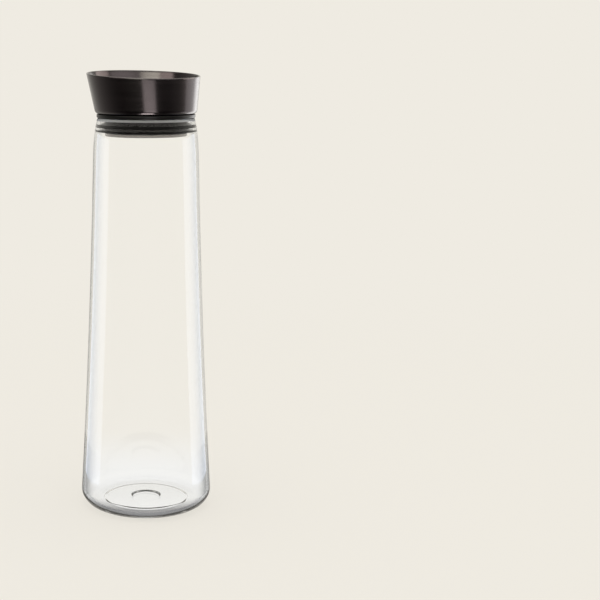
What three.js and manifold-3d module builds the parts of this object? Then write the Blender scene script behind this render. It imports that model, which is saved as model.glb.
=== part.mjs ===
// A tall glass carafe with a lift-out pouring stopper.
// Millimetres, +Z up. The origin is the centre of the foot, and the spout points along +X.
//
// The glass is one blown shell. The stopper is a slanted steel collar, a steel throat and a silicone
// gasket, clamped together by a ring. A round flap swings on a pin across the throat: a weighted rod
// under the pin holds the flap shut, and the flap opens when the carafe is tipped to pour.

import * as THREE from 'three';
import { mergeVertices } from 'three/addons/utils/BufferGeometryUtils.js';
import loadManifold from 'manifold-3d';

const wasm = await loadManifold();
wasm.setup();

// Facets round a full turn of a large and of a small piece, and steps along a bend, an edge and a curve
const TURN_FACETS = 48;
const SMALL_FACETS = 16;
const BEND_STEPS = 6;
const EDGE_STEPS = 3;
const CURVE_STEPS = 8;

// Clearances: seated pieces, stacked layers of the flap, and turning or riveted fits
const FIT = 0.3;
const LAYER_GAP = 0.1;
const RUNNING = 0.1;

// Glass shell, outside
const GLASS_HEIGHT = 268;
const BASE_RADIUS = 45;
const HEEL_RADIUS = 11;
const FOOT_WIDTH = 4;
const BODY_HOLLOW = 0.95;
const SHOULDER_DROP = 26;
const SHOULDER_TURN = 10;
const NECK_DRAW_IN = 2.7;
const MOUTH_BORE_RADIUS = 30.5;

// Glass shell, inside and underneath
const WALL = 2.4;
const BASE_WALL = 3.6;
const INNER_HEEL_RADIUS = 7.6;
const RECESS_RISE = 0.8;
const RECESS_RUN = 2;
const DOME_RISE = 0.8;
const MARK_RADIUS = 10.4;
const MARK_RUN = 1.6;
const MARK_DROP = 1.7;

// Silicone gasket: a flange on the glass lip, and two fins inside the mouth
const FLANGE_THICKNESS = 2.1;
const FLANGE_OVERHANG = 0.2;
const FLANGE_EDGE_RADIUS = 0.5;
const FLANGE_UNDERCUT_RADIUS = 1.4;
const GASKET_WALL = 2.3;
const FIN_REACH = 2.3;
const FIN_CLEARANCE = 0.3;
const UPPER_FIN = { rootTop: 3, tipTop: 4.3, tipBottom: 6.3, rootBottom: 7 };
const LOWER_FIN = { rootTop: 7.6, tipTop: 7.8, tipBottom: 9, rootBottom: 9.2 };
const GASKET_TAIL = 0.2;

// Steel collar, flared and slanted towards the spout
const COLLAR_SHEET = 1;
const COLLAR_HEIGHT = 26.3;
const COLLAR_OVERHANG = 0.9;
const COLLAR_BEND_RADIUS = 3.5;
const RIM_RADIUS = 38.1;
const RIM_LEAN = 4.4;
const RIM_RISE = 4.6;

// Steel throat and the ring that clamps the stopper together
const THROAT_WALL = 0.9;
const THROAT_FLANGE_WIDTH = 3.7;
const THROAT_FLANGE_THICKNESS = 0.8;
const RING_HEIGHT = 2.1;
const RING_LIP = 0.7;
const RING_EDGE_RADIUS = 0.7;
const RING_INSET = 0.3;

// Hinge pin and flap
const HINGE_DEPTH = 5.2;
const HINGE_OFFSET = 2;
const PIN_RADIUS = 1;
const PIN_END_CLEARANCE = 0.2;
const SEAT_WIDTH = 2.2;
const SEAT_HEIGHT = 1.5;
const SEAT_HALF_ANGLE = 70;
const FLAP_CLEARANCE = 0.8;
const WASHER_THICKNESS = 1;
const PLATE_THICKNESS = 0.5;
const PLATE_MARGIN = 0.6;
const CARRIER_THICKNESS = 1.2;
const CARRIER_PIN_GAP = 0.4;
const CARRIER_MARGIN = 0.6;
const EAR_THICKNESS = 3;
const EAR_WALL = 1.3;
const ROD_RADIUS = 3.5;
const ROD_WEB = 1.5;
const ROD_INSET = 7.4;
const ROD_OVERHANG = 3.5;
const ROD_CHAMFER = 0.6;
const RIVET_SHANK_RADIUS = 1.2;
const RIVET_HEAD_RADIUS = 2.4;
const RIVET_HEAD_HEIGHT = 0.8;
const RIVET_SPREAD = 10;

const clearGlass = new THREE.MeshStandardMaterial({
  color: 0xf2f1ea, roughness: 0.04, metalness: 0, transparent: true, opacity: 0.3,
});
const gunmetalSteel = new THREE.MeshStandardMaterial({ color: 0x393536, roughness: 0.2, metalness: 1 });
const brightSteel = new THREE.MeshStandardMaterial({ color: 0x8c8986, roughness: 0.26, metalness: 1 });
const blackSilicone = new THREE.MeshStandardMaterial({ color: 0x0f0e0e, roughness: 0.3, metalness: 0 });
const blackPlastic = new THREE.MeshStandardMaterial({ color: 0x1c1b1a, roughness: 0.5, metalness: 0 });

// Heights and radii that follow from the sizes above, from the mouth inwards and upwards
const lipRadius = MOUTH_BORE_RADIUS + WALL;
const shoulderRadius = lipRadius + NECK_DRAW_IN;
const shoulderHeight = GLASS_HEIGHT - SHOULDER_DROP;
const finRadius = MOUTH_BORE_RADIUS - FIN_CLEARANCE;
const gasketRadius = finRadius - FIN_REACH;
const gasketBore = gasketRadius - GASKET_WALL;
const throatRadius = gasketBore - FIT;
const throatBore = throatRadius - THROAT_WALL;
const flangeRadius = lipRadius + FLANGE_OVERHANG;
const flangeBottom = GLASS_HEIGHT + FIT;
const flangeTop = flangeBottom + FLANGE_THICKNESS;
const gasketBottom = GLASS_HEIGHT - LOWER_FIN.rootBottom - GASKET_TAIL;
const collarBottom = flangeTop + FIT;
const collarFloor = collarBottom + COLLAR_SHEET;
const collarRim = collarBottom + COLLAR_HEIGHT;
const throatFlangeBottom = collarFloor + FIT;
const throatTop = throatFlangeBottom + THROAT_FLANGE_THICKNESS;
const ringTop = gasketBottom - FIT;
const ringBottom = ringTop - RING_HEIGHT;
const throatBottom = ringBottom + RING_LIP + FIT;
const hingeHeight = throatTop - HINGE_DEPTH;

// Layers of the flap, measured up from the hinge pin
const carrierBottom = PIN_RADIUS + CARRIER_PIN_GAP;
const carrierTop = carrierBottom + CARRIER_THICKNESS;
const washerBottom = carrierTop + LAYER_GAP;
const washerTop = washerBottom + WASHER_THICKNESS;
const plateBottom = washerTop + LAYER_GAP;
const plateTop = plateBottom + PLATE_THICKNESS;
const seatTop = hingeHeight + washerBottom - FIT;
const seatRadius = throatBore - FIT;
const seatBore = seatRadius - SEAT_WIDTH;
const washerRadius = throatBore - FLAP_CLEARANCE;
const rodHalfLength = throatBore - ROD_INSET;
const rodHoleRadius = ROD_RADIUS + RUNNING;
const pinHoleRadius = PIN_RADIUS + RUNNING;
const rodDrop = pinHoleRadius + ROD_WEB + rodHoleRadius;

function point(radius, height) {
  return new THREE.Vector2(radius, height);
}

// Points along a circle from one angle to another, in degrees
function arc(radius, height, bendRadius, from, to, steps) {
  const start = THREE.MathUtils.degToRad(from);
  const end = THREE.MathUtils.degToRad(to);
  const circle = new THREE.EllipseCurve(radius, height, bendRadius, bendRadius, start, end, to < from);
  return circle.getPoints(steps);
}

// A profile listed anticlockwise, with its radius along X and its height along Y, turned about Z
function turned(profile, facets) {
  const geometry = new THREE.LatheGeometry(profile, facets);
  return geometry.rotateX(Math.PI / 2);
}

// A turned piece that is hollow along its axis has a profile that closes on itself
function turnedRing(profile) {
  return turned([...profile, profile[0].clone()], TURN_FACETS);
}

function solidOf(geometry) {
  const bare = geometry.clone();
  bare.deleteAttribute('normal');
  bare.deleteAttribute('uv');
  const merged = mergeVertices(bare);
  const vertProperties = new Float32Array(merged.attributes.position.array);
  const triVerts = new Uint32Array(merged.index.array);
  return new wasm.Manifold(new wasm.Mesh({ numProp: 3, vertProperties, triVerts }));
}

function geometryOf(solid) {
  const mesh = solid.getMesh();
  const geometry = new THREE.BufferGeometry();
  geometry.setAttribute('position', new THREE.BufferAttribute(mesh.vertProperties, 3));
  geometry.setIndex(new THREE.BufferAttribute(mesh.triVerts, 1));
  geometry.computeVertexNormals();
  return geometry;
}

// A flat plate with holes, from one height to another
function plate(shape, bottom, top) {
  const settings = { depth: top - bottom, bevelEnabled: false, curveSegments: SMALL_FACETS / 2 };
  return new THREE.ExtrudeGeometry(shape, settings).translate(0, 0, bottom);
}

function circleShape(x, y, radius, facets) {
  const circle = new THREE.EllipseCurve(x, y, radius, radius, 0, 2 * Math.PI, false);
  return new THREE.Shape(circle.getPoints(facets).slice(0, -1));
}

function addMesh(group, name, geometry, material) {
  const mesh = new THREE.Mesh(geometry, material);
  mesh.name = name;
  group.add(mesh);
}

// Outer radius of the tapered body, which is a straight cone hollowed a little half way up
function bodyRadius(height) {
  const share = (height - HEEL_RADIUS) / (shoulderHeight - HEEL_RADIUS);
  const cone = THREE.MathUtils.lerp(BASE_RADIUS, shoulderRadius, share);
  return cone - 4 * BODY_HOLLOW * share * (1 - share);
}

function bodyPoints(from, to, inset) {
  const points = [];
  for (let step = 0; step <= CURVE_STEPS; step += 1) {
    const height = THREE.MathUtils.lerp(from, to, step / CURVE_STEPS);
    points.push(point(bodyRadius(height) - inset, height));
  }
  return points;
}

// The shoulder leaves the body along its slope and draws in to the lip
function shoulderPoints(inset) {
  const turnHeight = GLASS_HEIGHT - SHOULDER_TURN;
  const slope = (shoulderRadius - BASE_RADIUS + 4 * BODY_HOLLOW) / (shoulderHeight - HEEL_RADIUS);
  const turnRadius = shoulderRadius + slope * (turnHeight - shoulderHeight);
  const curve = new THREE.QuadraticBezierCurve(
    point(shoulderRadius - inset, shoulderHeight),
    point(turnRadius - inset, turnHeight),
    point(lipRadius - inset, GLASS_HEIGHT - WALL / 2),
  );
  return curve.getPoints(BEND_STEPS).slice(1, -1);
}

function glassBody() {
  const footRadius = BASE_RADIUS - HEEL_RADIUS;
  const footBore = footRadius - FOOT_WIDTH;
  const recessRadius = footBore - RECESS_RUN;
  const innerHeelTop = BASE_WALL + INNER_HEEL_RADIUS;
  const floorRadius = bodyRadius(innerHeelTop) - WALL - INNER_HEEL_RADIUS;

  // The base is pushed up into a low dome, and a round mark is pressed into the middle of its floor
  const domeHeight = (radius) => RECESS_RISE + DOME_RISE * (1 - (radius / recessRadius) ** 2);
  const middleRadius = (MARK_RADIUS + recessRadius) / 2;
  const underside = [0, MARK_RADIUS, middleRadius, recessRadius].map(
    (radius) => point(radius, domeHeight(radius)),
  );
  const floor = [recessRadius, middleRadius, MARK_RADIUS].map(
    (radius) => point(radius, BASE_WALL + domeHeight(radius)),
  );
  const markHeight = BASE_WALL + domeHeight(MARK_RADIUS) - MARK_DROP;

  const profile = [
    ...underside,
    point(footBore, 0),
    ...arc(footRadius, HEEL_RADIUS, HEEL_RADIUS, -90, 0, BEND_STEPS),
    ...bodyPoints(HEEL_RADIUS, shoulderHeight, 0).slice(1),
    ...shoulderPoints(0),
    ...arc(MOUTH_BORE_RADIUS + WALL / 2, GLASS_HEIGHT - WALL / 2, WALL / 2, 0, 180, BEND_STEPS),
    ...shoulderPoints(WALL).reverse(),
    ...bodyPoints(shoulderHeight, innerHeelTop, WALL),
    ...arc(floorRadius, innerHeelTop, INNER_HEEL_RADIUS, 0, -90, BEND_STEPS).slice(1),
    point(footBore, BASE_WALL),
    ...floor,
    point(MARK_RADIUS - MARK_RUN, markHeight),
    point(0, markHeight),
  ];
  return turned(profile, TURN_FACETS);
}

// A fin of the gasket, from the root under it, out to its tip and back to the root above it
function finPoints(fin) {
  return [
    point(gasketRadius, GLASS_HEIGHT - fin.rootBottom),
    point(finRadius, GLASS_HEIGHT - fin.tipBottom),
    point(finRadius, GLASS_HEIGHT - fin.tipTop),
    point(gasketRadius, GLASS_HEIGHT - fin.rootTop),
  ];
}

function sealGasket() {
  const edge = FLANGE_EDGE_RADIUS;
  const undercut = FLANGE_UNDERCUT_RADIUS;
  return turnedRing([
    point(gasketBore, gasketBottom),
    point(gasketRadius, gasketBottom),
    ...finPoints(LOWER_FIN),
    ...finPoints(UPPER_FIN),
    point(gasketRadius, flangeBottom),
    ...arc(flangeRadius - undercut, flangeBottom + undercut, undercut, -90, 0, EDGE_STEPS),
    ...arc(flangeRadius - edge, flangeTop - edge, edge, 0, 90, EDGE_STEPS),
    point(gasketBore, flangeTop),
  ]);
}

// The wall of the collar is turned upright, then leaned towards the spout above the throat's flange
function leanToSpout(geometry) {
  const position = geometry.attributes.position;
  for (let index = 0; index < position.count; index += 1) {
    const x = position.getX(index);
    const z = position.getZ(index);
    const share = Math.max(0, z - throatTop) / (collarRim - throatTop);
    position.setX(index, x + RIM_LEAN * share);
    position.setZ(index, z + RIM_RISE / 2 * share * x / RIM_RADIUS);
  }
  return geometry;
}

function pourCollar() {
  const cornerRadius = flangeRadius + COLLAR_OVERHANG;
  const hole = throatRadius + FIT;
  const flare = Math.atan2(RIM_RADIUS - cornerRadius, COLLAR_HEIGHT);
  const flareDegrees = THREE.MathUtils.radToDeg(flare);
  const tangent = COLLAR_BEND_RADIUS * Math.tan((Math.PI / 2 - flare) / 2);
  const bendCentre = point(cornerRadius - tangent, collarBottom + COLLAR_BEND_RADIUS);
  const innerBend = COLLAR_BEND_RADIUS - COLLAR_SHEET;
  const edge = COLLAR_SHEET / 2;
  const rimCentre = point(RIM_RADIUS - edge * Math.cos(flare), collarRim - edge);
  return leanToSpout(turnedRing([
    point(hole, collarBottom),
    ...arc(bendCentre.x, bendCentre.y, COLLAR_BEND_RADIUS, -90, -flareDegrees, BEND_STEPS),
    ...arc(rimCentre.x, rimCentre.y, edge, -flareDegrees, 180 - flareDegrees, EDGE_STEPS),
    ...arc(bendCentre.x, bendCentre.y, innerBend, -flareDegrees, -90, BEND_STEPS),
    point(hole, collarFloor),
  ]));
}

// The pin lies along Y, and the holes for it go right through both sides of the throat
function pinGeometry(radius, halfLength) {
  return new THREE.CylinderGeometry(radius, radius, 2 * halfLength, SMALL_FACETS);
}

function throatSleeve() {
  const tube = turnedRing([
    point(throatBore, throatBottom),
    point(throatRadius, throatBottom),
    point(throatRadius, throatFlangeBottom),
    point(throatRadius + THROAT_FLANGE_WIDTH, throatFlangeBottom),
    point(throatRadius + THROAT_FLANGE_WIDTH, throatTop),
    point(throatRadius, throatTop),
    point(throatBore, throatTop - THROAT_WALL),
  ]);
  const holes = pinGeometry(pinHoleRadius, throatRadius + FIT);
  holes.translate(-HINGE_OFFSET, 0, hingeHeight);
  return geometryOf(solidOf(tube).subtract(solidOf(holes)));
}

function retainingRing() {
  const outer = gasketRadius - RING_INSET;
  const edge = RING_EDGE_RADIUS;
  return turnedRing([
    point(throatBore, ringBottom),
    ...arc(outer - edge, ringBottom + edge, edge, -90, 0, EDGE_STEPS),
    point(outer, ringTop),
    point(throatRadius + FIT, ringTop),
    point(throatRadius + FIT, ringBottom + RING_LIP),
    point(throatBore, ringBottom + RING_LIP),
  ]);
}

// The seat is a silicone strip round the spout side of the throat, under the edge of the flap
function flapSeat() {
  const halfAngle = THREE.MathUtils.degToRad(SEAT_HALF_ANGLE);
  const outer = new THREE.EllipseCurve(0, 0, seatRadius, seatRadius, -halfAngle, halfAngle, false);
  const inner = new THREE.EllipseCurve(0, 0, seatBore, seatBore, halfAngle, -halfAngle, true);
  const outline = [...outer.getPoints(TURN_FACETS / 2), ...inner.getPoints(TURN_FACETS / 2)];
  return plate(new THREE.Shape(outline), seatTop - SEAT_HEIGHT, seatTop);
}

function hingePin() {
  const halfLength = Math.sqrt(throatRadius ** 2 - HINGE_OFFSET ** 2) - PIN_END_CLEARANCE;
  return pinGeometry(PIN_RADIUS, halfLength).translate(-HINGE_OFFSET, 0, hingeHeight);
}

// The flap's pieces are drawn about its pin, so the middle of a disc lies in front of the pin
function flapDisc(radius, bottom, top) {
  const shape = circleShape(HINGE_OFFSET, 0, radius, TURN_FACETS);
  for (const side of [-1, 1]) {
    const hole = circleShape(side * RIVET_SPREAD, 0, RIVET_SHANK_RADIUS + RUNNING, SMALL_FACETS);
    shape.holes.push(hole);
  }
  return plate(shape, bottom, top);
}

// Two ears hang under the carrier, each with a hole for the pin and a hole for the weighted rod
function earGeometry(outerFace) {
  const halfWidth = rodHoleRadius + EAR_WALL;
  const top = carrierBottom + CARRIER_THICKNESS / 2;
  const shape = new THREE.Shape();
  shape.moveTo(halfWidth, top);
  shape.lineTo(-halfWidth, top);
  shape.lineTo(-halfWidth, -rodDrop);
  shape.absarc(0, -rodDrop, halfWidth, Math.PI, 2 * Math.PI, false);
  shape.holes.push(circleShape(0, 0, pinHoleRadius, SMALL_FACETS));
  shape.holes.push(circleShape(0, -rodDrop, rodHoleRadius, SMALL_FACETS));
  return plate(shape, 0, EAR_THICKNESS).rotateX(Math.PI / 2).translate(0, outerFace, 0);
}

function flapCarrier() {
  const earFace = rodHalfLength - ROD_OVERHANG;
  const disc = flapDisc(seatBore - CARRIER_MARGIN, carrierBottom, carrierTop);
  const leftEar = solidOf(earGeometry(earFace));
  const rightEar = solidOf(earGeometry(EAR_THICKNESS - earFace));
  return geometryOf(solidOf(disc).add(leftEar).add(rightEar));
}

function counterweightRod() {
  const rod = turned([
    point(0, -rodHalfLength),
    point(ROD_RADIUS - ROD_CHAMFER, -rodHalfLength),
    point(ROD_RADIUS, -rodHalfLength + ROD_CHAMFER),
    point(ROD_RADIUS, rodHalfLength - ROD_CHAMFER),
    point(ROD_RADIUS - ROD_CHAMFER, rodHalfLength),
    point(0, rodHalfLength),
  ], SMALL_FACETS);
  return rod.rotateX(Math.PI / 2).translate(0, 0, -rodDrop);
}

function flapRivet(x) {
  const headTop = carrierBottom - LAYER_GAP;
  const domeBottom = plateTop + LAYER_GAP;
  const rivet = turned([
    point(0, headTop - RIVET_HEAD_HEIGHT),
    point(RIVET_HEAD_RADIUS, headTop - RIVET_HEAD_HEIGHT),
    point(RIVET_HEAD_RADIUS, headTop),
    point(RIVET_SHANK_RADIUS, headTop),
    point(RIVET_SHANK_RADIUS, domeBottom),
    point(RIVET_HEAD_RADIUS, domeBottom),
    point(RIVET_HEAD_RADIUS * Math.SQRT1_2, domeBottom + RIVET_HEAD_HEIGHT * Math.SQRT1_2),
    point(0, domeBottom + RIVET_HEAD_HEIGHT),
  ], SMALL_FACETS);
  return rivet.translate(x, 0, 0);
}

const carafe = new THREE.Group();
addMesh(carafe, 'glass_body', glassBody(), clearGlass);

const stopper = new THREE.Group();
addMesh(stopper, 'pour_collar', pourCollar(), gunmetalSteel);
addMesh(stopper, 'throat_sleeve', throatSleeve(), brightSteel);
addMesh(stopper, 'seal_gasket', sealGasket(), blackSilicone);
addMesh(stopper, 'retaining_ring', retainingRing(), brightSteel);
addMesh(stopper, 'flap_seat', flapSeat(), blackSilicone);
addMesh(stopper, 'hinge_pin', hingePin(), brightSteel);
carafe.add(stopper);

const flap = new THREE.Group();
flap.position.set(-HINGE_OFFSET, 0, hingeHeight);
addMesh(flap, 'flap_carrier', flapCarrier(), blackPlastic);
addMesh(flap, 'flap_washer', flapDisc(washerRadius, washerBottom, washerTop), blackSilicone);
addMesh(flap, 'flap_plate', flapDisc(washerRadius - PLATE_MARGIN, plateBottom, plateTop), gunmetalSteel);
addMesh(flap, 'counterweight_rod', counterweightRod(), brightSteel);
addMesh(flap, 'flap_rivet_front', flapRivet(RIVET_SPREAD), brightSteel);
addMesh(flap, 'flap_rivet_rear', flapRivet(-RIVET_SPREAD), brightSteel);
stopper.add(flap);

export default carafe;
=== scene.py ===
# %% [markdown]
# # A glass carafe with a pouring stopper
#
# The carafe is a tapered shell of clear glass. Its stopper is a slanted collar of dark steel on a
# silicone gasket, with a flap inside that opens when the carafe is tipped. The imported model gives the
# place and size of every piece, and this script gives each of them its fine shape and its finish.

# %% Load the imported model
import math

import bpy
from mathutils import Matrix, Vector


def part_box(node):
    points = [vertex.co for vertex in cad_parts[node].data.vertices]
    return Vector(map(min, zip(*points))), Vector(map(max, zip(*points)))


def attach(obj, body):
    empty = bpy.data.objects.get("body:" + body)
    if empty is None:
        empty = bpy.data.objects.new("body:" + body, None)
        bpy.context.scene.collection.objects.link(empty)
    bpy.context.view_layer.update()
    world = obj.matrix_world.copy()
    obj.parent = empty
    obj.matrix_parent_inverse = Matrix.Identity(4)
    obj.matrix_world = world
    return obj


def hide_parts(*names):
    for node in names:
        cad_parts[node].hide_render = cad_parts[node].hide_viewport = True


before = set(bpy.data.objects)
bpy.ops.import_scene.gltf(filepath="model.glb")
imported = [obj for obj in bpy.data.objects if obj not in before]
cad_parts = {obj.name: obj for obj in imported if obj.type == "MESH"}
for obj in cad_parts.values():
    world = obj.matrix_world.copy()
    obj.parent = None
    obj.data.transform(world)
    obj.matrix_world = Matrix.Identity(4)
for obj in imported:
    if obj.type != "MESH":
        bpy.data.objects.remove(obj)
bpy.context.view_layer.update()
print("nodes:", ", ".join(sorted(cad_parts)))

# %% [markdown]
# Nearly every piece of a carafe is round, because glass is blown and spun, and steel is turned or
# spun too. So one helper does most of the modelling: it takes a profile of (radius, height) points
# and spins it about the upright axis. A profile is listed anticlockwise, which makes the faces look
# outwards. Blender's own Screw modifier could do this, but here points on the axis have to close to
# a single vertex, and that is simpler in plain mesh code.

# %% Spin a profile about the upright axis
MM = 0.001
FACETS = 160


def spin(name, profile, material, facets=FACETS):
    """Makes a smooth closed mesh from a profile in millimetres.

    The profile of a ring ends where it starts.
    """
    vertices = []
    rings = []
    is_ring = profile[0] == profile[-1]
    for radius, height in profile[:-1] if is_ring else profile:
        count = facets if radius > 0 else 1
        reach = radius * MM
        rings.append([len(vertices) + index for index in range(count)])
        for index in range(count):
            angle = 2 * math.pi * index / facets
            vertices.append((reach * math.cos(angle), reach * math.sin(angle), height * MM))
    if is_ring:
        rings.append(rings[0])
    faces = []
    for lower, upper in zip(rings, rings[1:]):
        for index in range(facets):
            corners = [
                lower[index % len(lower)],
                lower[(index + 1) % len(lower)],
                upper[(index + 1) % len(upper)],
                upper[index % len(upper)],
            ]
            faces.append(list(dict.fromkeys(corners)))
    mesh = bpy.data.meshes.new(name)
    mesh.from_pydata(vertices, [], faces)
    mesh.shade_smooth()
    mesh.materials.append(material)
    piece = bpy.data.objects.new(name, mesh)
    bpy.context.collection.objects.link(piece)
    print(f"{name}: {len(vertices)} vertices")
    return piece


# %% [markdown]
# A profile is put together from bends and long curves. Each of these two helpers returns a list of
# points, so that a profile reads as a list of its parts, from the bottom to the top. The third one
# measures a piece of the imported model, because the new shape has to fit where that piece is.

# %% Parts of a profile
def arc(radius, height, bend, start, end, steps=12):
    """Points on a circle about (radius, height), from one angle to another in degrees."""
    turns = [math.radians(start + (end - start) * step / steps) for step in range(steps + 1)]
    return [(radius + bend * math.cos(turn), height + bend * math.sin(turn)) for turn in turns]


def curve(start, control, end, steps=16):
    """Points on a quadratic curve, with both of its ends."""
    points = []
    for step in range(steps + 1):
        share = step / steps
        weights = ((1 - share) ** 2, 2 * share * (1 - share), share**2)
        pulls = list(zip(weights, (start, control, end)))
        points.append(tuple(sum(weight * pull[axis] for weight, pull in pulls) for axis in (0, 1)))
    return points


def box_mm(node):
    """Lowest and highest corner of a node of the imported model, in millimetres."""
    low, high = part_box(node)
    return low / MM, high / MM


glass_high = box_mm("glass_body")[1]
print(f"glass in the packed model: {glass_high.z:.1f} mm high, {2 * glass_high.x:.1f} mm wide")

# %% [markdown]
# A finish is a node tree. One small function adds a node, sets its options and either fills a socket
# with a value or links it, so that each material below reads as a short recipe. Colours are written
# as the sRGB hex values that a colour picker gives, and turned to linear light in one place.

# %% Colours and nodes
def linear(hex_colour):
    """Turns an sRGB colour such as #EFEBE2 into linear red, green, blue and alpha."""
    channels = [int(hex_colour[place : place + 2], 16) / 255 for place in (1, 3, 5)]
    bent = [c / 12.92 if c <= 0.04045 else ((c + 0.055) / 1.055) ** 2.4 for c in channels]
    return (*bent, 1.0)


def add_node(tree, kind, inputs, **settings):
    """Adds a node. Each input is a value for its socket, or another node's output to link to it."""
    made = tree.nodes.new(kind)
    for name, value in settings.items():
        setattr(made, name, value)
    for name, value in inputs.items():
        if isinstance(value, bpy.types.NodeSocket):
            tree.links.new(value, made.inputs[name])
        else:
            made.inputs[name].default_value = value
    return made


def new_material(name):
    material = bpy.data.materials.new(name)
    material.use_nodes = True
    material.node_tree.nodes.clear()
    print("material:", name)
    return material, material.node_tree


print("middle grey in linear light:", round(linear("#808080")[0], 3))

# %% [markdown]
# **Borosilicate glass, blown into a mould and fire-polished.** Its refractive index is 1.47. A fire
# polish leaves the surface perfectly smooth, but blowing leaves slow waves of a few centimetres in it,
# and they bend the reflections a little. The mesh could be displaced by them, but then the outline
# would have to be much finer. A bump of a few hundredths of a millimetre is enough.

# %% Clear glass: slow waves
GLASS_INDEX = 1.47
BLOWN_WAVE_MM = 34
BLOWN_WAVE_DEPTH_MM = 0.06

glass, tree = new_material("borosilicate_glass_blown")
place = add_node(tree, "ShaderNodeTexCoord", {})
waves = add_node(
    tree,
    "ShaderNodeTexNoise",
    {"Vector": place.outputs["Object"], "Scale": 1 / (BLOWN_WAVE_MM * MM), "Detail": 1.0},
)
wavy = add_node(
    tree,
    "ShaderNodeBump",
    {"Height": waves.outputs["Fac"], "Strength": 1.0, "Distance": BLOWN_WAVE_DEPTH_MM * MM},
)
print("waves in the glass:", BLOWN_WAVE_MM, "mm long")

# %% [markdown]
# The edges of a clear glass look grey, because light that enters there at a shallow angle is led
# round inside the wall and little of it comes out again. Absorption alone would need very dark glass
# for that. So the grey is painted shade in the colour of the glass: a Layer Weight node gives it on
# every side, so that the glass passes less light where it turns away, and less still at the heel,
# where the wall is thick. Faces that look up or down, such as the floor of the carafe, are thin in
# that direction and stay clear.

# %% Clear glass: painted shade on the edges
EDGE_STARTS = 0.35
EDGE_IS_FULL = 0.9
LOOKS_UP = 0.95
STANDS = 0.65
GREY_LOOKING_UP = 0.15
HEEL_STARTS_MM = 55
HEEL_IS_FULL_MM = 8

turning = add_node(tree, "ShaderNodeLayerWeight", {"Blend": 0.5})
turned_away = add_node(
    tree,
    "ShaderNodeMapRange",
    {"Value": turning.outputs["Facing"], "From Min": EDGE_STARTS, "From Max": EDGE_IS_FULL},
    interpolation_type="SMOOTHSTEP",
)
normal = add_node(tree, "ShaderNodeSeparateXYZ", {"Vector": place.outputs["Normal"]})
flatness = add_node(tree, "ShaderNodeMath", {0: normal.outputs["Z"]}, operation="ABSOLUTE")
upright = add_node(
    tree,
    "ShaderNodeMapRange",
    {
        "Value": flatness.outputs[0],
        "From Min": LOOKS_UP,
        "From Max": STANDS,
        "To Min": GREY_LOOKING_UP,
    },
)
edge_shade_share = add_node(
    tree,
    "ShaderNodeMath",
    {0: turned_away.outputs[0], 1: upright.outputs[0]},
    operation="MULTIPLY",
)
height = add_node(tree, "ShaderNodeSeparateXYZ", {"Vector": place.outputs["Object"]})
heel_shade_share = add_node(
    tree,
    "ShaderNodeMapRange",
    {
        "Value": height.outputs["Z"],
        "From Min": HEEL_STARTS_MM * MM,
        "From Max": HEEL_IS_FULL_MM * MM,
    },
    interpolation_type="SMOOTHSTEP",
)
# Painted shade: the colour of the glass turns grey at its edges, and darkest at the heel.
painted_edge_shade = add_node(
    tree,
    "ShaderNodeMix",
    {0: heel_shade_share.outputs[0], 6: linear("#B4B8BC"), 7: linear("#5E6266")},
    data_type="RGBA",
)
painted_shade_tint = add_node(
    tree,
    "ShaderNodeMix",
    {0: edge_shade_share.outputs[0], 6: linear("#FFFFFF"), 7: painted_edge_shade.outputs[2]},
    data_type="RGBA",
)
print("grey edges: full at the heel, up to", HEEL_IS_FULL_MM, "mm")

# %% [markdown]
# The lip is ground after the glass is cut to height, so it is matt and shows as a pale line. It could
# be a second material, but glass has to stay one closed skin of one material for its absorption. So
# the same shader is rougher and a little less clear above a height. A trace of grey-green absorption
# through the whole wall does what iron does in any clear glass.

# %% Clear glass: ground lip and shader
GROUND_LIP_MM = 1.8
GROUND_FADE_MM = 0.4
GROUND_ROUGHNESS = 0.5
GROUND_CLEARNESS = 0.8
GLASS_DENSITY = 18.0

lip_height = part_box("glass_body")[1].z - GROUND_LIP_MM * MM
ground_lip = add_node(
    tree,
    "ShaderNodeMapRange",
    {
        "Value": height.outputs["Z"],
        "From Min": lip_height,
        "From Max": lip_height + GROUND_FADE_MM * MM,
    },
)
lip_roughness = add_node(
    tree,
    "ShaderNodeMapRange",
    {"Value": ground_lip.outputs[0], "To Max": GROUND_ROUGHNESS},
)
lip_clearness = add_node(
    tree,
    "ShaderNodeMapRange",
    {"Value": ground_lip.outputs[0], "To Min": 1.0, "To Max": GROUND_CLEARNESS},
)
shader = add_node(
    tree,
    "ShaderNodeBsdfPrincipled",
    {
        "Base Color": painted_shade_tint.outputs[2],
        "Roughness": lip_roughness.outputs[0],
        "IOR": GLASS_INDEX,
        "Transmission Weight": lip_clearness.outputs[0],
        "Normal": wavy.outputs["Normal"],
    },
)
absorption = add_node(
    tree,
    "ShaderNodeVolumeAbsorption",
    {"Color": linear("#B4BAB6"), "Density": GLASS_DENSITY},
)
add_node(
    tree,
    "ShaderNodeOutputMaterial",
    {"Surface": shader.outputs[0], "Volume": absorption.outputs[0]},
)
print(f"glass: index {GLASS_INDEX}, ground above {lip_height / MM:.1f} mm")

# %% [markdown]
# ** Stainless steel with a dark vapour coating, brushed on a lathe.** The coating keeps the metal's
# reflections but darkens them to a warm gunmetal. It is thin, and it has worn to bare metal on the
# sharp top edge. The lighter top edge is partly that wear and partly a painted highlight along the
# rim: it is lighter where the metal looks up. The worn part could be a second material on the faces
# of the edge, but its border would be hard. Here the colour follows the direction and the height of
# the surface, so it fades.

# %% Worn coating and painted rim highlight
WEAR_AND_HIGHLIGHT_ABOVE_MM = 285
WEAR_AND_HIGHLIGHT_STARTS = 0.3
WEAR_AND_HIGHLIGHT_IS_FULL = 0.9


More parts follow.
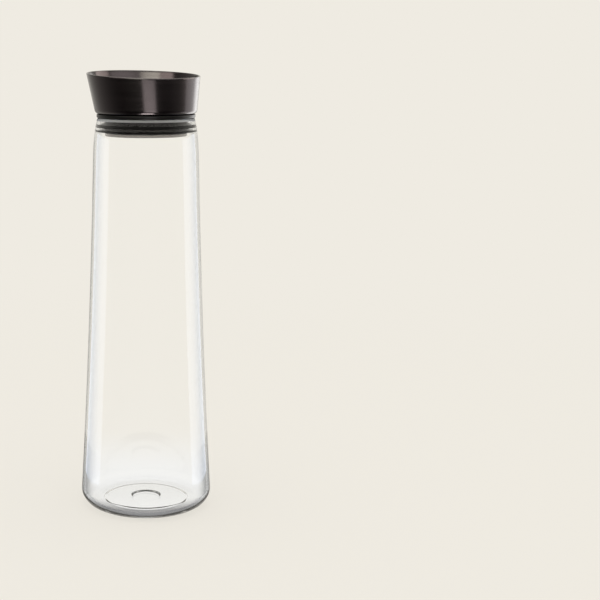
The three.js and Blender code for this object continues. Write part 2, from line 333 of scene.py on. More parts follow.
def wear_and_rim_highlight(tree, place, colour, wear_and_highlight_colour):
    """The colour of the coating, lighter on the top edge where the metal looks up: partly wear, partly
    a painted highlight along the rim.
    """
    facing = add_node(tree, "ShaderNodeSeparateXYZ", {"Vector": place.outputs["Normal"]})
    height = add_node(tree, "ShaderNodeSeparateXYZ", {"Vector": place.outputs["Object"]})
    upward = add_node(
        tree,
        "ShaderNodeMapRange",
        {"Value": facing.outputs["Z"], "From Min": WEAR_AND_HIGHLIGHT_STARTS, "From Max": WEAR_AND_HIGHLIGHT_IS_FULL},
    )
    high = add_node(
        tree,
        "ShaderNodeMath",
        {0: height.outputs["Z"], 1: WEAR_AND_HIGHLIGHT_ABOVE_MM * MM},
        operation="GREATER_THAN",
    )
    # Up-facing surfaces at the top: partly wear, partly a painted highlight along the rim.
    wear_and_highlight_mask = add_node(
        tree,
        "ShaderNodeMath",
        {0: upward.outputs[0], 1: high.outputs[0]},
        operation="MULTIPLY",
    )
    tint = add_node(
        tree,
        "ShaderNodeMix",
        {0: wear_and_highlight_mask.outputs[0], 6: linear(colour), 7: linear(wear_and_highlight_colour)},
        data_type="RGBA",
    )
    return tint.outputs[2]


print("coating: worn above", WEAR_AND_HIGHLIGHT_ABOVE_MM, "mm")

# %% [markdown]
# Brushing on a lathe leaves fine rings, so highlights stretch a little across them: that is what
# Anisotropic does, with a tangent that runs round the axis. Noise that is stretched round the piece
# gives the rings their uneven depth and shine. Real brush lines are about 0.1 mm apart. They are drawn
# 0.7 mm apart, because finer ones would not show at this size. **Stainless steel, turned and left
# bare** has the same rings and no coating.

# %% Gunmetal steel and bare steel
BRUSH_LINE_MM = 0.7
BRUSH_LENGTH_MM = 60
BRUSH_DEPTH_MM = 0.02
BRUSH_RELIEF = 0.25
BRUSH_LOW = 0.3
BRUSH_HIGH = 0.7
BRUSH_STRETCH = 0.2
QUARTER_TURN = 0.25


def brushed_steel(name, colour, roughness, roughness_spread, wear_and_highlight_colour=None):
    """Lathe-brushed steel, with a coating that is lighter on its top edge if a second colour is given:
    partly wear, partly a painted highlight.
    """
    material, tree = new_material(name)
    place = add_node(tree, "ShaderNodeTexCoord", {})
    along = 1 / (BRUSH_LENGTH_MM * MM)
    stretched = add_node(
        tree,
        "ShaderNodeMapping",
        {"Vector": place.outputs["Object"], "Scale": (along, along, 1 / (BRUSH_LINE_MM * MM))},
    )
    brush = add_node(
        tree,
        "ShaderNodeTexNoise",
        {"Vector": stretched.outputs[0], "Scale": 1.0, "Detail": 3.0},
    )
    rough = add_node(
        tree,
        "ShaderNodeMapRange",
        {
            "Value": brush.outputs["Fac"],
            "From Min": BRUSH_LOW,
            "From Max": BRUSH_HIGH,
            "To Min": roughness - roughness_spread,
            "To Max": roughness + roughness_spread,
        },
    )
    lines = add_node(
        tree,
        "ShaderNodeBump",
        {
            "Height": brush.outputs["Fac"],
            "Strength": BRUSH_RELIEF,
            "Distance": BRUSH_DEPTH_MM * MM,
        },
    )
    tangent = add_node(tree, "ShaderNodeTangent", {}, direction_type="RADIAL", axis="Z")
    tint = wear_and_rim_highlight(tree, place, colour, wear_and_highlight_colour) if wear_and_highlight_colour else linear(colour)
    shader = add_node(
        tree,
        "ShaderNodeBsdfPrincipled",
        {
            "Base Color": tint,
            "Metallic": 1.0,
            "Roughness": rough.outputs[0],
            "Anisotropic": BRUSH_STRETCH,
            "Anisotropic Rotation": QUARTER_TURN,
            "Tangent": tangent.outputs[0],
            "Normal": lines.outputs["Normal"],
        },
    )
    add_node(tree, "ShaderNodeOutputMaterial", {"Surface": shader.outputs[0]})
    return material


# The lighter top edge of the collar is partly wear and partly a painted highlight along the rim.
gunmetal = brushed_steel("stainless_steel_gunmetal_coated", "#393536", 0.2, 0.03, "#6E6A69")
bare_steel = brushed_steel("stainless_steel_turned_bare", "#8C8986", 0.26, 0.05)

# %% [markdown]
# **Food-grade silicone, moulded.** It is black, and its skin is smooth with a weak, soft sheen. The
# grain is about 0.2 mm, and it is drawn a little coarser so that it shows. **Polypropylene, moulded**
# in a spark-eroded tool is rougher and has a coarser grain. Fingers leave faint pale marks of about a
# centimetre on both, which also change the sheen a little.

# %% Black silicone and black plastic
HANDLED_MM = 9
HANDLED_ROUGHNESS = 0.08
GRAIN_RELIEF = 0.4


def moulded(name, colour, pale_colour, index, roughness, sheen, grain_mm, grain_depth_mm):
    """A moulded black material with a grainy skin and faint pale handling marks."""
    material, tree = new_material(name)
    place = add_node(tree, "ShaderNodeTexCoord", {})
    grain = add_node(
        tree,
        "ShaderNodeTexNoise",
        {"Vector": place.outputs["Object"], "Scale": 1 / (grain_mm * MM), "Detail": 2.0},
    )
    marks = add_node(
        tree,
        "ShaderNodeTexNoise",
        {"Vector": place.outputs["Object"], "Scale": 1 / (HANDLED_MM * MM), "Detail": 4.0},
    )
    tint = add_node(
        tree,
        "ShaderNodeMix",
        {0: marks.outputs["Fac"], 6: linear(colour), 7: linear(pale_colour)},
        data_type="RGBA",
    )
    rough = add_node(
        tree,
        "ShaderNodeMapRange",
        {
            "Value": marks.outputs["Fac"],
            "To Min": roughness - HANDLED_ROUGHNESS,
            "To Max": roughness + HANDLED_ROUGHNESS,
        },
    )
    skin = add_node(
        tree,
        "ShaderNodeBump",
        {
            "Height": grain.outputs["Fac"],
            "Strength": GRAIN_RELIEF,
            "Distance": grain_depth_mm * MM,
        },
    )
    shader = add_node(
        tree,
        "ShaderNodeBsdfPrincipled",
        {
            "Base Color": tint.outputs[2],
            "Roughness": rough.outputs[0],
            "IOR": index,
            "Specular IOR Level": sheen,
            "Normal": skin.outputs["Normal"],
        },
    )
    add_node(tree, "ShaderNodeOutputMaterial", {"Surface": shader.outputs[0]})
    return material


silicone = moulded("silicone_moulded_black", "#060606", "#0A0A09", 1.41, 0.3, 0.14, 0.3, 0.006)
polypropylene = moulded(
    "polypropylene_moulded_black", "#161514", "#22201F", 1.49, 0.42, 0.2, 0.4, 0.02
)

# %% [markdown]
# ## The glass
#
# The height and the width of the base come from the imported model. The outside is a foot, a heel
# arc, a side that is a cone hollowed by less than a millimetre, and a shoulder that draws in to the
# lip. The inside follows it one wall thickness in, so both are drawn by the same functions with a
# different inset.

# %% Side and shoulder of the glass
GLASS_TOP = glass_high.z
BASE_RADIUS = glass_high.x
WALL = 2.4
HEEL = 11
MOUTH_RADIUS = 30.5
SHOULDER_DROP = 26
SHOULDER_TURN = 10
NECK_DRAW_IN = 2.7
BODY_HOLLOW = 0.95

lip_radius = MOUTH_RADIUS + WALL
shoulder_radius = lip_radius + NECK_DRAW_IN
shoulder_height = GLASS_TOP - SHOULDER_DROP


def body_radius(height):
    """Outer radius of the side of the glass at a height."""
    share = (height - HEEL) / (shoulder_height - HEEL)
    cone = BASE_RADIUS + (shoulder_radius - BASE_RADIUS) * share
    return cone - 4 * BODY_HOLLOW * share * (1 - share)


def side(start, end, inset, steps=40):
    heights = [start + (end - start) * step / steps for step in range(steps + 1)]
    return [(body_radius(height) - inset, height) for height in heights]


def shoulder(inset):
    """The shoulder leaves the side along its slope and ends upright under the lip."""
    turn_height = GLASS_TOP - SHOULDER_TURN
    slope = (shoulder_radius - BASE_RADIUS + 4 * BODY_HOLLOW) / (shoulder_height - HEEL)
    turn_radius = shoulder_radius + slope * (turn_height - shoulder_height)
    return curve(
        (shoulder_radius - inset, shoulder_height),
        (turn_radius - inset, turn_height),
        (lip_radius - inset, GLASS_TOP - WALL / 2),
    )


print(f"glass: {2 * shoulder_radius:.1f} mm wide at the shoulder, {2 * lip_radius:.1f} mm at the lip")

# %% [markdown]
# The base is pushed up inside the foot, by a small step and a low dome, so that the carafe stands on
# a ring and doesn't rock. A round mark is pressed into the middle of its floor. The step shows as a
# thin ring in the bottom of the carafe, and the mark as a short dark arc. Both are soft steps,
# because hot glass never fills a sharp corner.

# %% Base of the glass
FOOT_WIDTH = 4
RECESS = 0.5
RECESS_RUN = 2
DOME = 0.8
MARK_RADIUS = 10.4
MARK_RUN = 1.2
MARK_DROP = 0.9

foot_radius = BASE_RADIUS - HEEL
foot_bore = foot_radius - FOOT_WIDTH
recess_radius = foot_bore - RECESS_RUN


def soft_step(value):
    """Goes from 0 to 1 with no sharp corner."""
    share = min(1, max(0, value))
    return share**2 * (3 - 2 * share)


def push_up(radius):
    """How far the base is pushed up: a step inside the foot, and a low dome."""
    dome = DOME * max(0, 1 - (radius / recess_radius) ** 2)
    return dome + RECESS * soft_step((foot_bore - radius) / RECESS_RUN)


def mark(radius):
    """How far the round mark is pressed into the middle of the floor."""
    return MARK_DROP * soft_step((MARK_RADIUS - radius) / MARK_RUN)


print(f"base: pushed up by {push_up(0):.1f} mm inside a foot {2 * foot_radius:.0f} mm wide")

# %% [markdown]
# Now the profile goes once round the section of the wall: under the base, up the outside, over the
# lip, down the inside, and in across the floor to the axis. It is one closed skin, which refraction
# needs.

# %% Glass shell
BASE_WALL = 3.6
INNER_HEEL = 7.6
BASE_STEPS = 90
HEEL_STEPS = 24
LIP_STEPS = 16

base_radii = [foot_bore * step / BASE_STEPS for step in range(BASE_STEPS + 1)]
inner_heel_top = BASE_WALL + INNER_HEEL
floor_radius = body_radius(inner_heel_top) - WALL - INNER_HEEL
glass_profile = [
    *[(radius, push_up(radius)) for radius in base_radii],
    *arc(foot_radius, HEEL, HEEL, -90, 0, HEEL_STEPS),
    *side(HEEL, shoulder_height, 0)[1:],
    *shoulder(0)[1:-1],
    *arc(MOUTH_RADIUS + WALL / 2, GLASS_TOP - WALL / 2, WALL / 2, 0, 180, LIP_STEPS),
    *shoulder(WALL)[-2:0:-1],
    *side(shoulder_height, inner_heel_top, WALL),
    *arc(floor_radius, inner_heel_top, INNER_HEEL, 0, -90, HEEL_STEPS)[1:],
    *[(radius, BASE_WALL + push_up(radius) - mark(radius)) for radius in reversed(base_radii)],
]
glass_shell = spin("glass_shell", glass_profile, glass)
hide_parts("glass_body")
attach(glass_shell, "glass")

# %% [markdown]
# ## The steel collar
#
# The collar is spun from one millimetre sheet: a floor with a hole, a bend, and a flared wall with a
# rounded top edge. It leans towards the spout, and the top edge is cut on a slant. It is simplest to
# spin it upright and then lean it: each point above the throat moves forward, and up or down with its
# own distance from the axis, in proportion to its height.

# %% Lean of the collar
collar_low, collar_high = box_mm("pour_collar")
throat_low, throat_high = box_mm("throat_sleeve")
RIM_RISE = 4.6
RIM_RADIUS = collar_high.y
RIM_LEAN = collar_high.x - RIM_RADIUS
rim_height = collar_high.z - RIM_RISE / 2


def lean_to_spout(piece):
    for vertex in piece.data.vertices:
        share = max(0, vertex.co.z / MM - throat_high.z) / (rim_height - throat_high.z)
        vertex.co.z += RIM_RISE / 2 * share * vertex.co.x / RIM_RADIUS
        vertex.co.x += RIM_LEAN * MM * share


def straight(start, end, steps=24):
    """Points between two ends, without them, so that a long wall has rows of faces to lean."""
    shares = [step / steps for step in range(1, steps)]
    return [tuple(a + (b - a) * share for a, b in zip(start, end)) for share in shares]


print(f"collar: leans by {RIM_LEAN:.1f} mm, slanted by {RIM_RISE} mm")

# %% [markdown]
# The bend touches both the floor and the wall, so its centre follows from the angle of the flare. The
# wall's outer and inner face share that centre, one sheet thickness apart.

# %% Pouring collar
SHEET = 1.0
COLLAR_CORNER = 34.0
COLLAR_BEND = 3.5
FIT = 0.3
THROAT_FLANGE = 3.7

throat_radius = throat_high.y - THROAT_FLANGE
flare = math.atan2(RIM_RADIUS - COLLAR_CORNER, rim_height - collar_low.z)
flare_degrees = math.degrees(flare)
bend_radius = COLLAR_CORNER - COLLAR_BEND * math.tan((math.pi / 2 - flare) / 2)
bend_height = collar_low.z + COLLAR_BEND
edge = SHEET / 2
edge_radius = RIM_RADIUS - edge * math.cos(flare)
hole = (throat_radius + FIT, collar_low.z)
outer_bend = arc(bend_radius, bend_height, COLLAR_BEND, -90, -flare_degrees)
rim_edge = arc(edge_radius, rim_height - edge, edge, -flare_degrees, 180 - flare_degrees)
inner_bend = arc(bend_radius, bend_height, COLLAR_BEND - SHEET, -flare_degrees, -90)
collar_profile = [
    hole,
    *outer_bend,
    *straight(outer_bend[-1], rim_edge[0]),
    *rim_edge,
    *straight(rim_edge[-1], inner_bend[0]),
    *inner_bend,
    (hole[0], collar_low.z + SHEET),
    hole,
]
collar = spin("steel_collar", collar_profile, gunmetal)
lean_to_spout(collar)
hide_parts("pour_collar")
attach(collar, "closure")
print(f"collar: flared by {flare_degrees:.1f} degrees")

# %% [markdown]
# ## The silicone gasket
#
# A flange sits on the glass lip, and two fins grip the inside of the neck. The fins are soft, so in
# the neck they are squeezed against the glass: their tips are drawn a hair inside its inner face, and
# that contact is why they look black right to the edge of the glass.

# %% Fins of the gasket
GASKET_WALL = 2.3
SQUEEZE = 0.06
UPPER_FIN = {"root_top": 3.0, "tip_top": 4.3, "tip_bottom": 6.3, "root_bottom": 7.0}
LOWER_FIN = {"root_top": 7.6, "tip_top": 7.8, "tip_bottom": 9.0, "root_bottom": 9.2}
TIP_STEPS = 6

gasket_bore = throat_radius + FIT
gasket_radius = gasket_bore + GASKET_WALL
inner_neck = shoulder(WALL)


def neck_radius(height):
    """Inner radius of the glass neck at a height."""
    for (low_radius, low), (high_radius, high) in zip(inner_neck, inner_neck[1:]):
        if low <= height <= high:
            return low_radius + (high_radius - low_radius) * (height - low) / (high - low)
    return inner_neck[-1][0]


def fin(sizes):
    """A fin from its root below, out to a tip pressed flat on the glass, and back to its root above."""
    heights = {name: GLASS_TOP - drop for name, drop in sizes.items()}
    rise = (heights["tip_top"] - heights["tip_bottom"]) / TIP_STEPS
    contact = [heights["tip_bottom"] + rise * step for step in range(TIP_STEPS + 1)]
    tip = [(neck_radius(height) + SQUEEZE, height) for height in contact]
    return [(gasket_radius, heights["root_bottom"]), *tip, (gasket_radius, heights["root_top"])]


print(f"fins: from {gasket_radius:.1f} mm out to {fin(UPPER_FIN)[1][0]:.1f} mm")

# %% [markdown]
# The flange is squeezed as well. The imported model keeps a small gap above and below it, so that its
# solids don't touch. Soft silicone has no such gap, so here the flange fills the space between the
# lip of the glass and the floor of the collar.

# %% Gasket
gasket_low, gasket_high = box_mm("seal_gasket")
TOUCH = 0.02
GASKET_EDGE = 0.2
FLANGE_ROOT = 0.3
FLANGE_EDGE = 0.5
UNDERCUT = 1.4

flange_bottom = GLASS_TOP + TOUCH
flange_top = collar_low.z - TOUCH
gasket_profile = [
    (gasket_bore, gasket_low.z),
    *arc(gasket_radius - GASKET_EDGE, gasket_low.z + GASKET_EDGE, GASKET_EDGE, -90, 0, 3),
    *fin(LOWER_FIN),
    *fin(UPPER_FIN),
    *arc(gasket_radius + FLANGE_ROOT, flange_bottom - FLANGE_ROOT, FLANGE_ROOT, 180, 90, 3),
    *arc(gasket_high.x - UNDERCUT, flange_bottom + UNDERCUT, UNDERCUT, -90, 0, 8),
    *arc(gasket_high.x - FLANGE_EDGE, flange_top - FLANGE_EDGE, FLANGE_EDGE, 0, 90, 6),
    (gasket_bore, flange_top),
    (gasket_bore, gasket_low.z),
]
gasket = spin("silicone_gasket", gasket_profile, silicone)
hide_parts("seal_gasket")
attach(gasket, "closure")

# %% [markdown]
# ## The steel ring and the throat
#
# The ring under the gasket is turned from bare steel, with rounded edges and a lip that holds the end
# of the throat. A bevel could round its edges, but a turned piece is a spun profile by nature, so the
# edges are arcs in the profile.

# %% Retaining ring
ring_low, ring_high = box_mm("retaining_ring")
RING_EDGE = 0.7
RING_TOP_EDGE = 0.3
RING_LIP = 0.7
THROAT_WALL = 0.9

throat_bore = throat_radius - THROAT_WALL
ring_profile = [
    (throat_bore, ring_low.z),
    *arc(ring_high.x - RING_EDGE, ring_low.z + RING_EDGE, RING_EDGE, -90, 0, 8),
    *arc(ring_high.x - RING_TOP_EDGE, ring_high.z - RING_TOP_EDGE, RING_TOP_EDGE, 0, 90, 4),
    (throat_radius + FIT, ring_high.z),
    (throat_radius + FIT, ring_low.z + RING_LIP),
    (throat_bore, ring_low.z + RING_LIP),
    (throat_bore, ring_low.z),
]
ring = spin("steel_ring", ring_profile, bare_steel)
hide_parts("retaining_ring")
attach(ring, "closure")

# %% [markdown]
# The throat is a thin steel tube with a flange on the floor of the collar. Its mouth is rounded, so
# that water runs in over it smoothly: one arc turns the top of the flange into the bore.

# %% Throat
THROAT_EDGE = 0.3

throat_mouth = THROAT_EDGE + THROAT_WALL
throat_flange_bottom = collar_low.z + SHEET + FIT
flange_corner = throat_high.x - THROAT_EDGE
throat_profile = [
    (throat_bore, throat_low.z),
    (throat_radius, throat_low.z),
    (throat_radius, throat_flange_bottom),
    *arc(flange_corner, throat_flange_bottom + THROAT_EDGE, THROAT_EDGE, -90, 0, 3),
    *arc(flange_corner, throat_high.z - THROAT_EDGE, THROAT_EDGE, 0, 90, 3),
    *arc(throat_radius + THROAT_EDGE, throat_high.z - throat_mouth, throat_mouth, 90, 180, 6),
    (throat_bore, throat_low.z),
]
throat = spin("steel_throat", throat_profile, bare_steel)
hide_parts("throat_sleeve")
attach(throat, "closure")

# %% [markdown]
# ## The flap
#
# Only its steel plate and two rivets show, when somebody looks down into the collar. The plate is
# stamped from sheet and coated like the collar. A flat cylinder would have sharp edges, which no
# stamped plate keeps, so it is a spun profile with an arc at its edge.

# %% Flap plate
plate_low, plate_high = box_mm("flap_plate")
PLATE_EDGE = 0.25

plate_radius = plate_high.x
plate_profile = [
    (0, plate_low.z),
    (plate_radius - PLATE_EDGE, plate_low.z),
    *arc(plate_radius - PLATE_EDGE, plate_low.z + PLATE_EDGE, PLATE_EDGE, -90, 90, 8),
    (0, plate_high.z),
]
plate = spin("flap_plate_rounded", plate_profile, gunmetal)
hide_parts("flap_plate")
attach(plate, "flap")

# %% [markdown]
# A rivet is a shank with a flat head below and a low dome above. A sphere with its lower part cut off
# would do for what shows, but the whole rivet is as easy. It is spun on the axis and then moved to its
# place.

# %% Rivets of the flap
RIVET_SHANK = 1.2
RIVET_HEAD = 0.8
RIVET_FACETS = 48

dome_turns = [math.radians(turn) for turn in range(0, 90, 10)]
for node in ("flap_rivet_front", "flap_rivet_rear"):
    rivet_low, rivet_high = box_mm(node)
    rivet_radius = (rivet_high.x - rivet_low.x) / 2
    dome_bottom = rivet_high.z - RIVET_HEAD
    rivet_profile = [
        (0, rivet_low.z),
        (rivet_radius, rivet_low.z),
        (rivet_radius, rivet_low.z + RIVET_HEAD),
        (RIVET_SHANK, rivet_low.z + RIVET_HEAD),
        (RIVET_SHANK, dome_bottom),
        *[(rivet_radius * math.cos(t), dome_bottom + RIVET_HEAD * math.sin(t)) for t in dome_turns],
        (0, rivet_high.z),
    ]
    rivet = spin(f"{node}_domed", rivet_profile, bare_steel, RIVET_FACETS)
    middle = (rivet_low.x + rivet_high.x) / 2
    for vertex in rivet.data.vertices:
        vertex.co.x += middle * MM
    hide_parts(node)
    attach(rivet, "flap")

# %% [markdown]
# The pin, the weighted rod and the layers under the plate hide inside the throat. They could be built
# anew as well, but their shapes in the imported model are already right. So they only get a finish, and
# a narrow bevel that catches the light as a broken edge does.

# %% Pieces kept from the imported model
KEPT = {
    "hinge_pin": bare_steel,
    "counterweight_rod": bare_steel,
    "flap_carrier": polypropylene,
    "flap_washer": silicone,
    "flap_seat": silicone,
}
BROKEN_EDGE_MM = 0.15
BROKEN_EDGE_ANGLE = 40

for node, material in KEPT.items():
    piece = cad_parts[node]
    piece.data.materials.clear()
    piece.data.materials.append(material)
    bevel = piece.modifiers.new("broken_edges", "BEVEL")
    bevel.width = BROKEN_EDGE_MM * MM
    bevel.segments = 2
    bevel.limit_method = "ANGLE"
    bevel.angle_limit = math.radians(BROKEN_EDGE_ANGLE)
print("kept:", ", ".join(KEPT))

# %% [markdown]
# ## Floor, light and camera
#
# Everything on the set is placed as the camera sees it: so far to its right, so far towards it, and
# so far up. The camera looks at the carafe from the side that the spout turns away from.

# %% Directions on the set
CAMERA_AZIMUTH = -115

azimuth = math.radians(CAMERA_AZIMUTH)
to_camera = Vector((math.sin(azimuth), -math.cos(azimuth), 0))
to_right = Vector((math.cos(azimuth), math.sin(azimuth), 0))
up = Vector((0, 0, 1))
print("camera at", CAMERA_AZIMUTH, "degrees")

# %% [markdown]
# The ground is one plain warm grey, from the table to the far background. A lit floor would never be
# that even, so it shows its own colour to every ray that sees it: to the camera, in reflections, and
# through the glass. A Light Path node tells these rays apart. Paper that is seen through the glass is
# a little brighter, which makes up for what the two walls take away.

# %% Rays that see the paper
GROUND = "#EFEBE2"
BEHIND_GLASS = 1.085


def paper_light(tree):
    """Which rays see the paper, which come through glass, and how bright the paper is to them."""
    path = add_node(tree, "ShaderNodeLightPath", {})
    through = path.outputs["Is Transmission Ray"]
    seen = path.outputs["Is Camera Ray"]
    for ray in (path.outputs["Is Glossy Ray"], through):
        seen = add_node(tree, "ShaderNodeMath", {0: seen, 1: ray}, operation="MAXIMUM").outputs[0]
    strength = add_node(
        tree,
        "ShaderNodeMapRange",
        {"Value": through, "To Min": 1.0, "To Max": BEHIND_GLASS},
    )
    return seen, through, strength.outputs[0]


print("paper:", GROUND)

# %% [markdown]
# **Seamless paper, uncoated.** Near the carafe a share of its colour is lit colour, so that the floor
# keeps the carafe's soft shadow. Through the glass, the paper round the foot is whiter, because the
# thick base gathers light there, and a ring of it under the near heel is dark, because the heel stands
# in its own shade. All three fade with the distance from the foot.

# %% Paper: lit share, glow and shade
LIT_SHARE = 0.2
LIT_M = (0.2, 1.0)
GLOW_M = (0.04, 0.2)
SHADE_STARTS_M = (0.0275, 0.0295)
SHADE_ENDS_M = (0.045, 0.052)

ground, tree = new_material("seamless_paper_warm_grey")
seen, through, strength = paper_light(tree)
place = add_node(tree, "ShaderNodeTexCoord", {})
length = add_node(tree, "ShaderNodeVectorMath", {0: place.outputs["Object"]}, operation="LENGTH")
distance = length.outputs["Value"]
fades = []
for full, (near, far) in ((LIT_SHARE, LIT_M), (1.0, GLOW_M), (1.0, SHADE_ENDS_M)):
    fade = add_node(
        tree,
        "ShaderNodeMapRange",
        {"Value": distance, "From Min": near, "From Max": far, "To Min": full, "To Max": 0.0},
        interpolation_type="SMOOTHSTEP",
    )
    fades.append(fade.outputs[0])
lit_near, glow_near, shade = fades
lit_share = add_node(
    tree,
    "ShaderNodeMath",
    {0: lit_near, 1: through},
    operation="SUBTRACT",
    use_clamp=True,
)
glow = add_node(tree, "ShaderNodeMath", {0: glow_near, 1: through}, operation="MULTIPLY")
front = add_node(
    tree,
    "ShaderNodeVectorMath",
    {0: place.outputs["Object"], 1: to_camera},
    operation="DOT_PRODUCT",
)
shade_limits = (
    (distance, SHADE_STARTS_M),
    (front.outputs["Value"], (0.0, SHADE_STARTS_M[1])),
    (through, (0.0, 1.0)),
)
for value, (start, full) in shade_limits:
    limit = add_node(
        tree,
        "ShaderNodeMapRange",
        {"Value": value, "From Min": start, "From Max": full},
    )
    shade = add_node(
        tree,
        "ShaderNodeMath",
        {0: shade, 1: limit.outputs[0]},
        operation="MULTIPLY",
    ).outputs[0]
print("shade under the heel: to", SHADE_ENDS_M[1], "m")

# %% [markdown]
# The colour of the paper is laid up like paint: first the plain ground, then the glow, then the shade.
# It is shown as the paper's own light, mixed with the lit paper. Rays that only carry light, and don't
# see the floor, meet the lit paper alone, so that it doesn't shine on the carafe from below.

# %% Paper: colour and shader
GLOW = "#F4F4F3"
SHADE = "#8E8E90"

paper = linear(GROUND)
for share, colour in ((glow.outputs[0], GLOW), (shade, SHADE)):
    paper = add_node(
        tree,
        "ShaderNodeMix",
        {0: share, 6: paper, 7: linear(colour)},
        data_type="RGBA",
    ).outputs[2]
own = add_node(tree, "ShaderNodeEmission", {"Color": paper, "Strength": strength})
lit = add_node(tree, "ShaderNodeBsdfDiffuse", {"Color": linear(GROUND)})
shown = add_node(
    tree,
    "ShaderNodeMixShader",
    {0: lit_share.outputs[0], 1: own.outputs[0], 2: lit.outputs[0]},
)
mixed = add_node(
    tree,
    "ShaderNodeMixShader",
    {0: seen, 1: lit.outputs[0], 2: shown.outputs[0]},
)
add_node(tree, "ShaderNodeOutputMaterial", {"Surface": mixed.outputs[0]})
print("paper through glass: glow", GLOW, "and shade", SHADE)

# %% [markdown]
# The floor is one flat disc, so wide that its rim is lost in the distance. It lies a hair below the
# foot, so that the two faces don't flicker. The world behind it has the same colour, and lights the
# set with a slightly cooler one.

# %% Floor and background
FLOOR_RADIUS_M = 60.0
FLOOR_GAP_MM = 0.15
FLOOR_SIDES = 64
AMBIENT = "#F0EFEC"

floor_mesh = bpy.data.meshes.new("paper_floor")
turns = [2 * math.pi * index / FLOOR_SIDES for index in range(FLOOR_SIDES)]
floor_height = -FLOOR_GAP_MM * MM
floor_rim = [
    (FLOOR_RADIUS_M * math.cos(turn), FLOOR_RADIUS_M * math.sin(turn), floor_height) for turn in turns
]
floor_mesh.from_pydata(floor_rim, [], [list(range(FLOOR_SIDES))])
floor_mesh.materials.append(ground)
floor = bpy.data.objects.new("paper_floor", floor_mesh)
bpy.context.collection.objects.link(floor)

world = bpy.data.worlds.new("studio")
world.use_nodes = True
world.node_tree.nodes.clear()
tree = world.node_tree
seen, through, strength = paper_light(tree)
backdrop = add_node(
    tree,
    "ShaderNodeMix",
    {0: seen, 6: linear(AMBIENT), 7: linear(GROUND)},
    data_type="RGBA",
)
sky = add_node(tree, "ShaderNodeBackground", {"Color": backdrop.outputs[2], "Strength": strength})
add_node(tree, "ShaderNodeOutputWorld", {"Surface": sky.outputs[0]})
bpy.context.scene.world = world
print("floor:", 2 * FLOOR_RADIUS_M, "m wide")

# %% [markdown]
# The distance, height and tilt of the camera were worked out from the curves of the rim, the lip, the
# ring and the foot: the nearer a camera is, the more these ellipses differ. The carafe stands left of
# the middle, so the lens is shifted sideways. Turning the camera instead would make the carafe lean.

# %% Camera
CAMERA_DISTANCE_MM = 885
CAMERA_HEIGHT_MM = 309
CAMERA_PITCH = 10.55
LENS_MM = 78.7
SENSOR_MM = 36
AXIS_PIXEL = 146
FRAME_PIXELS = 600

lens = bpy.data.cameras.new("photo_lens")
lens.sensor_width = SENSOR_MM
lens.lens = LENS_MM
lens.shift_x = 0.5 - AXIS_PIXEL / FRAME_PIXELS
camera = bpy.data.objects.new("photo_camera", lens)
camera.location = to_camera * CAMERA_DISTANCE_MM * MM + up * CAMERA_HEIGHT_MM * MM
pitch = math.radians(CAMERA_PITCH)
gaze = -to_camera * math.cos(pitch) - up * math.sin(pitch)
camera.rotation_euler = gaze.to_track_quat("-Z", "Y").to_euler()
bpy.context.collection.objects.link(camera)
bpy.context.scene.camera = camera
print(f"camera: {LENS_MM} mm lens, looking down by {CAMERA_PITCH} degrees")

# %% [markdown]
# Glass and dark steel need opposite light. Glass wants wide white panels at its sides, which show as
# pale bands. Dark steel wants black around the camera, with one narrow lamp for its bright band. A
# studio does this with cards and flags of **black card, matt**. A card here thins out towards its
# ends, so that its reflection has no hard edge: each point of it has a cover, which the material
# reads.

# %% Material of the black cards
black, tree = new_material("black_card")
cover = add_node(tree, "ShaderNodeAttribute", {}, attribute_name="cover")
clear = add_node(tree, "ShaderNodeBsdfTransparent", {})
dark = add_node(tree, "ShaderNodeEmission", {"Color": linear("#4A4543"), "Strength": 1.0})
shader = add_node(
    tree,
    "ShaderNodeMixShader",
    {0: cover.outputs["Fac"], 1: clear.outputs[0], 2: dark.outputs[0]},
)
add_node(tree, "ShaderNodeOutputMaterial", {"Surface": shader.outputs[0]})

# %% [markdown]
# The cards are seen by reflections only, so that they neither show in the picture nor take light from
# the floor. A large one stands round the camera, for the steel. Low ones beside and behind the carafe
# draw a dark line down the edges of the glass and round its foot.

# %% Black cards
CARD_STEPS = 48


def black_card(name, angles, soft, reach, heights, full=1.0):
    """A card on the floor, bent up to a wall at its far side.

    It lies between two angles to the right of the camera, and thins out over the last soft degrees.
    """
    start, end = angles
    near, far = reach
    bottom, top = heights
    points = []
    faces = []
    cover = []
    for step in range(CARD_STEPS + 1):
        degrees = start + (end - start) * step / CARD_STEPS
        turn = math.radians(degrees)
        outward = to_camera * math.cos(turn) + to_right * math.sin(turn)
        points += [
            outward * near + up * bottom,
            outward * far + up * bottom,
            outward * far + up * top,
        ]
        cover += 3 * [full * soft_step(min(degrees - start, end - degrees) / soft)]
        if step:
            last = 3 * step
            faces += [
                (last - 3, last - 2, last + 1, last),
                (last - 2, last - 1, last + 2, last + 1),
            ]
    mesh = bpy.data.meshes.new(name)
    mesh.from_pydata(points, [], faces)
    mesh.materials.append(black)
    mesh.attributes.new("cover", "FLOAT", "POINT").data.foreach_set("value", cover)
    card = bpy.data.objects.new(name, mesh)
    bpy.context.collection.objects.link(card)
    for ray in ("camera", "diffuse", "transmission", "shadow", "volume_scatter"):
        setattr(card, f"visible_{ray}", False)
    print(f"{name}: from {start} to {end} degrees")


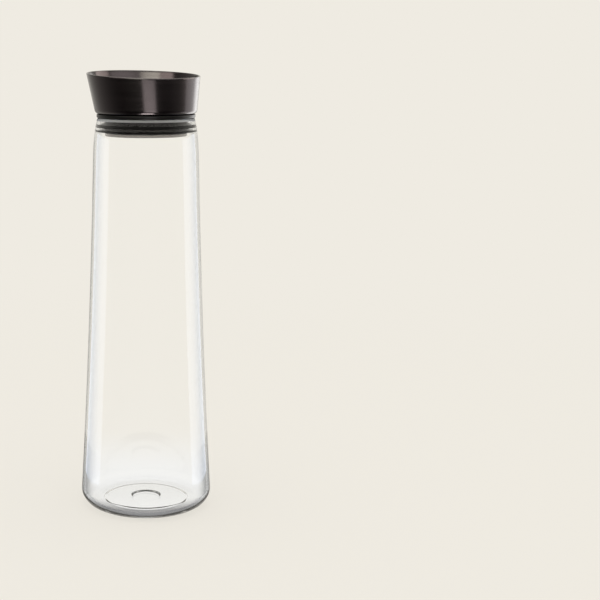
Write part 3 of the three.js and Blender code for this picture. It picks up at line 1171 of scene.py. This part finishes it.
EDGE_REACH_M = (0.055, 0.35)
EDGE_HEIGHTS_M = (0.002, 0.24)
FOOT_REACH_M = (0.047, 0.2)
FOOT_HEIGHTS_M = (0.0004, 0.001)
black_card("front_card", (-125, 125), 80, (0.1, 1.0), (0.002, 0.9))
black_card("left_edge_card", (-178, -140), 10, EDGE_REACH_M, EDGE_HEIGHTS_M, 0.45)
black_card("right_edge_card", (140, 178), 10, EDGE_REACH_M, EDGE_HEIGHTS_M, 0.08)
black_card("left_foot_card", (-178, 20), 40, FOOT_REACH_M, FOOT_HEIGHTS_M, 0.65)
black_card("right_foot_card", (-20, 178), 40, FOOT_REACH_M, FOOT_HEIGHTS_M, 0.5)

# %% [markdown]
# A softbox is an area lamp with an even front. Its brightness is given per area, because that is what
# a reflection shows, and the power follows from the size. Each lamp names the pieces that it lights:
# the two panels close to the glass would wash out the steel, and the lamps of the steel would put
# spots on the glass.

# %% Softboxes
def lit_pieces(name, pieces):
    """A collection of the pieces that a lamp lights."""
    group = bpy.data.collections.new(name)
    for piece in pieces:
        group.objects.link(piece)
    return group


def softbox(name, spot, size, radiance, colour, aim_height, lights=None):
    """A rectangular lamp, at a spot to the right, to the front and up in metres from the foot."""
    right, front, height = spot
    lamp = bpy.data.lights.new(name, "AREA")
    lamp.shape = "RECTANGLE"
    lamp.size, lamp.size_y = size
    lamp.color = linear(colour)[:3]
    lamp.energy = radiance * math.pi * size[0] * size[1]
    holder = bpy.data.objects.new(name, lamp)
    holder.location = to_right * right + to_camera * front + up * height
    aim = up * aim_height - holder.location
    holder.rotation_euler = aim.to_track_quat("-Z", "Y").to_euler()
    holder.visible_camera = False
    holder.visible_transmission = False
    if lights:
        holder.light_linking.receiver_collection = lights
    bpy.context.collection.objects.link(holder)
    print(f"{name}: {lamp.energy:.2f} W")


# %% [markdown]
# The panels end just below the stopper, so that they don't show in the neck. The strip in front of
# the collar gives the bright band on its wall, and the lamp below it the glint on its bend. The lamps
# above light the inner wall, each for its own stretch of it. Two more brighten the collar's right
# edge. One wide box overhead lights everything a little and makes the soft shadow.

# %% Panels and lamps
PANEL_RIGHT_M = 0.105
PANEL_BEHIND_M = 0.015
PANEL_MIDDLE_M = 0.131
PANEL_SIZE_M = (0.09, 2 * PANEL_MIDDLE_M)
PANEL_RADIANCE = 1.7
STOPPER_AIM_M = 0.28
STOPPER_LAMPS = (
    ("front_strip", (0.1, 0.59, 0.16), (0.27, 0.3), 4.4, "#FFFAF6"),
    ("bend_lamp", (0.007, 0.075, 0.1), (0.06, 0.1), 15.0, "#FFFAF6"),
    ("front_top", (0.5, 0.62, 0.62), (1.3, 0.4), 2.8, "#FFFAF6"),
    ("inside_lamp", (-0.19, 0.76, 0.62), (0.6, 0.35), 10.5, "#FBFFEC"),
    ("inside_fill", (-0.58, 0.44, 0.56), (0.42, 0.35), 5.0, "#FFF3EA"),
    ("inside_right", (0.7, -0.2, 0.5), (0.5, 0.35), 4.5, "#FFF3EA"),
    ("right_edge", (0.26, -0.32, 0.15), (0.24, 0.5), 1.6, "#FFFFFF"),
    ("right_glow", (0.36, -0.2, 0.15), (0.42, 0.5), 1.7, "#FFFFFF"),
)

glass_only = lit_pieces("lit_glass", [glass_shell])
stopper_only = lit_pieces("lit_stopper", [collar, gasket, ring, throat, plate])
for name, right in (("left_panel", -PANEL_RIGHT_M), ("right_panel", PANEL_RIGHT_M)):
    spot = (right, -PANEL_BEHIND_M, PANEL_MIDDLE_M)
    softbox(name, spot, PANEL_SIZE_M, PANEL_RADIANCE, "#D8E5FF", PANEL_MIDDLE_M, glass_only)
for name, spot, size, radiance, colour in STOPPER_LAMPS:
    softbox(name, spot, size, radiance, colour, STOPPER_AIM_M, stopper_only)
softbox("top_softbox", (0.0, 0.1, 1.2), (0.8, 0.8), 1.2, "#FFFFFF", 0.15)

# %% [markdown]
# The view transform is Standard, so that a colour shows as it is written.

# %% View transform
bpy.context.scene.view_settings.view_transform = "Standard"
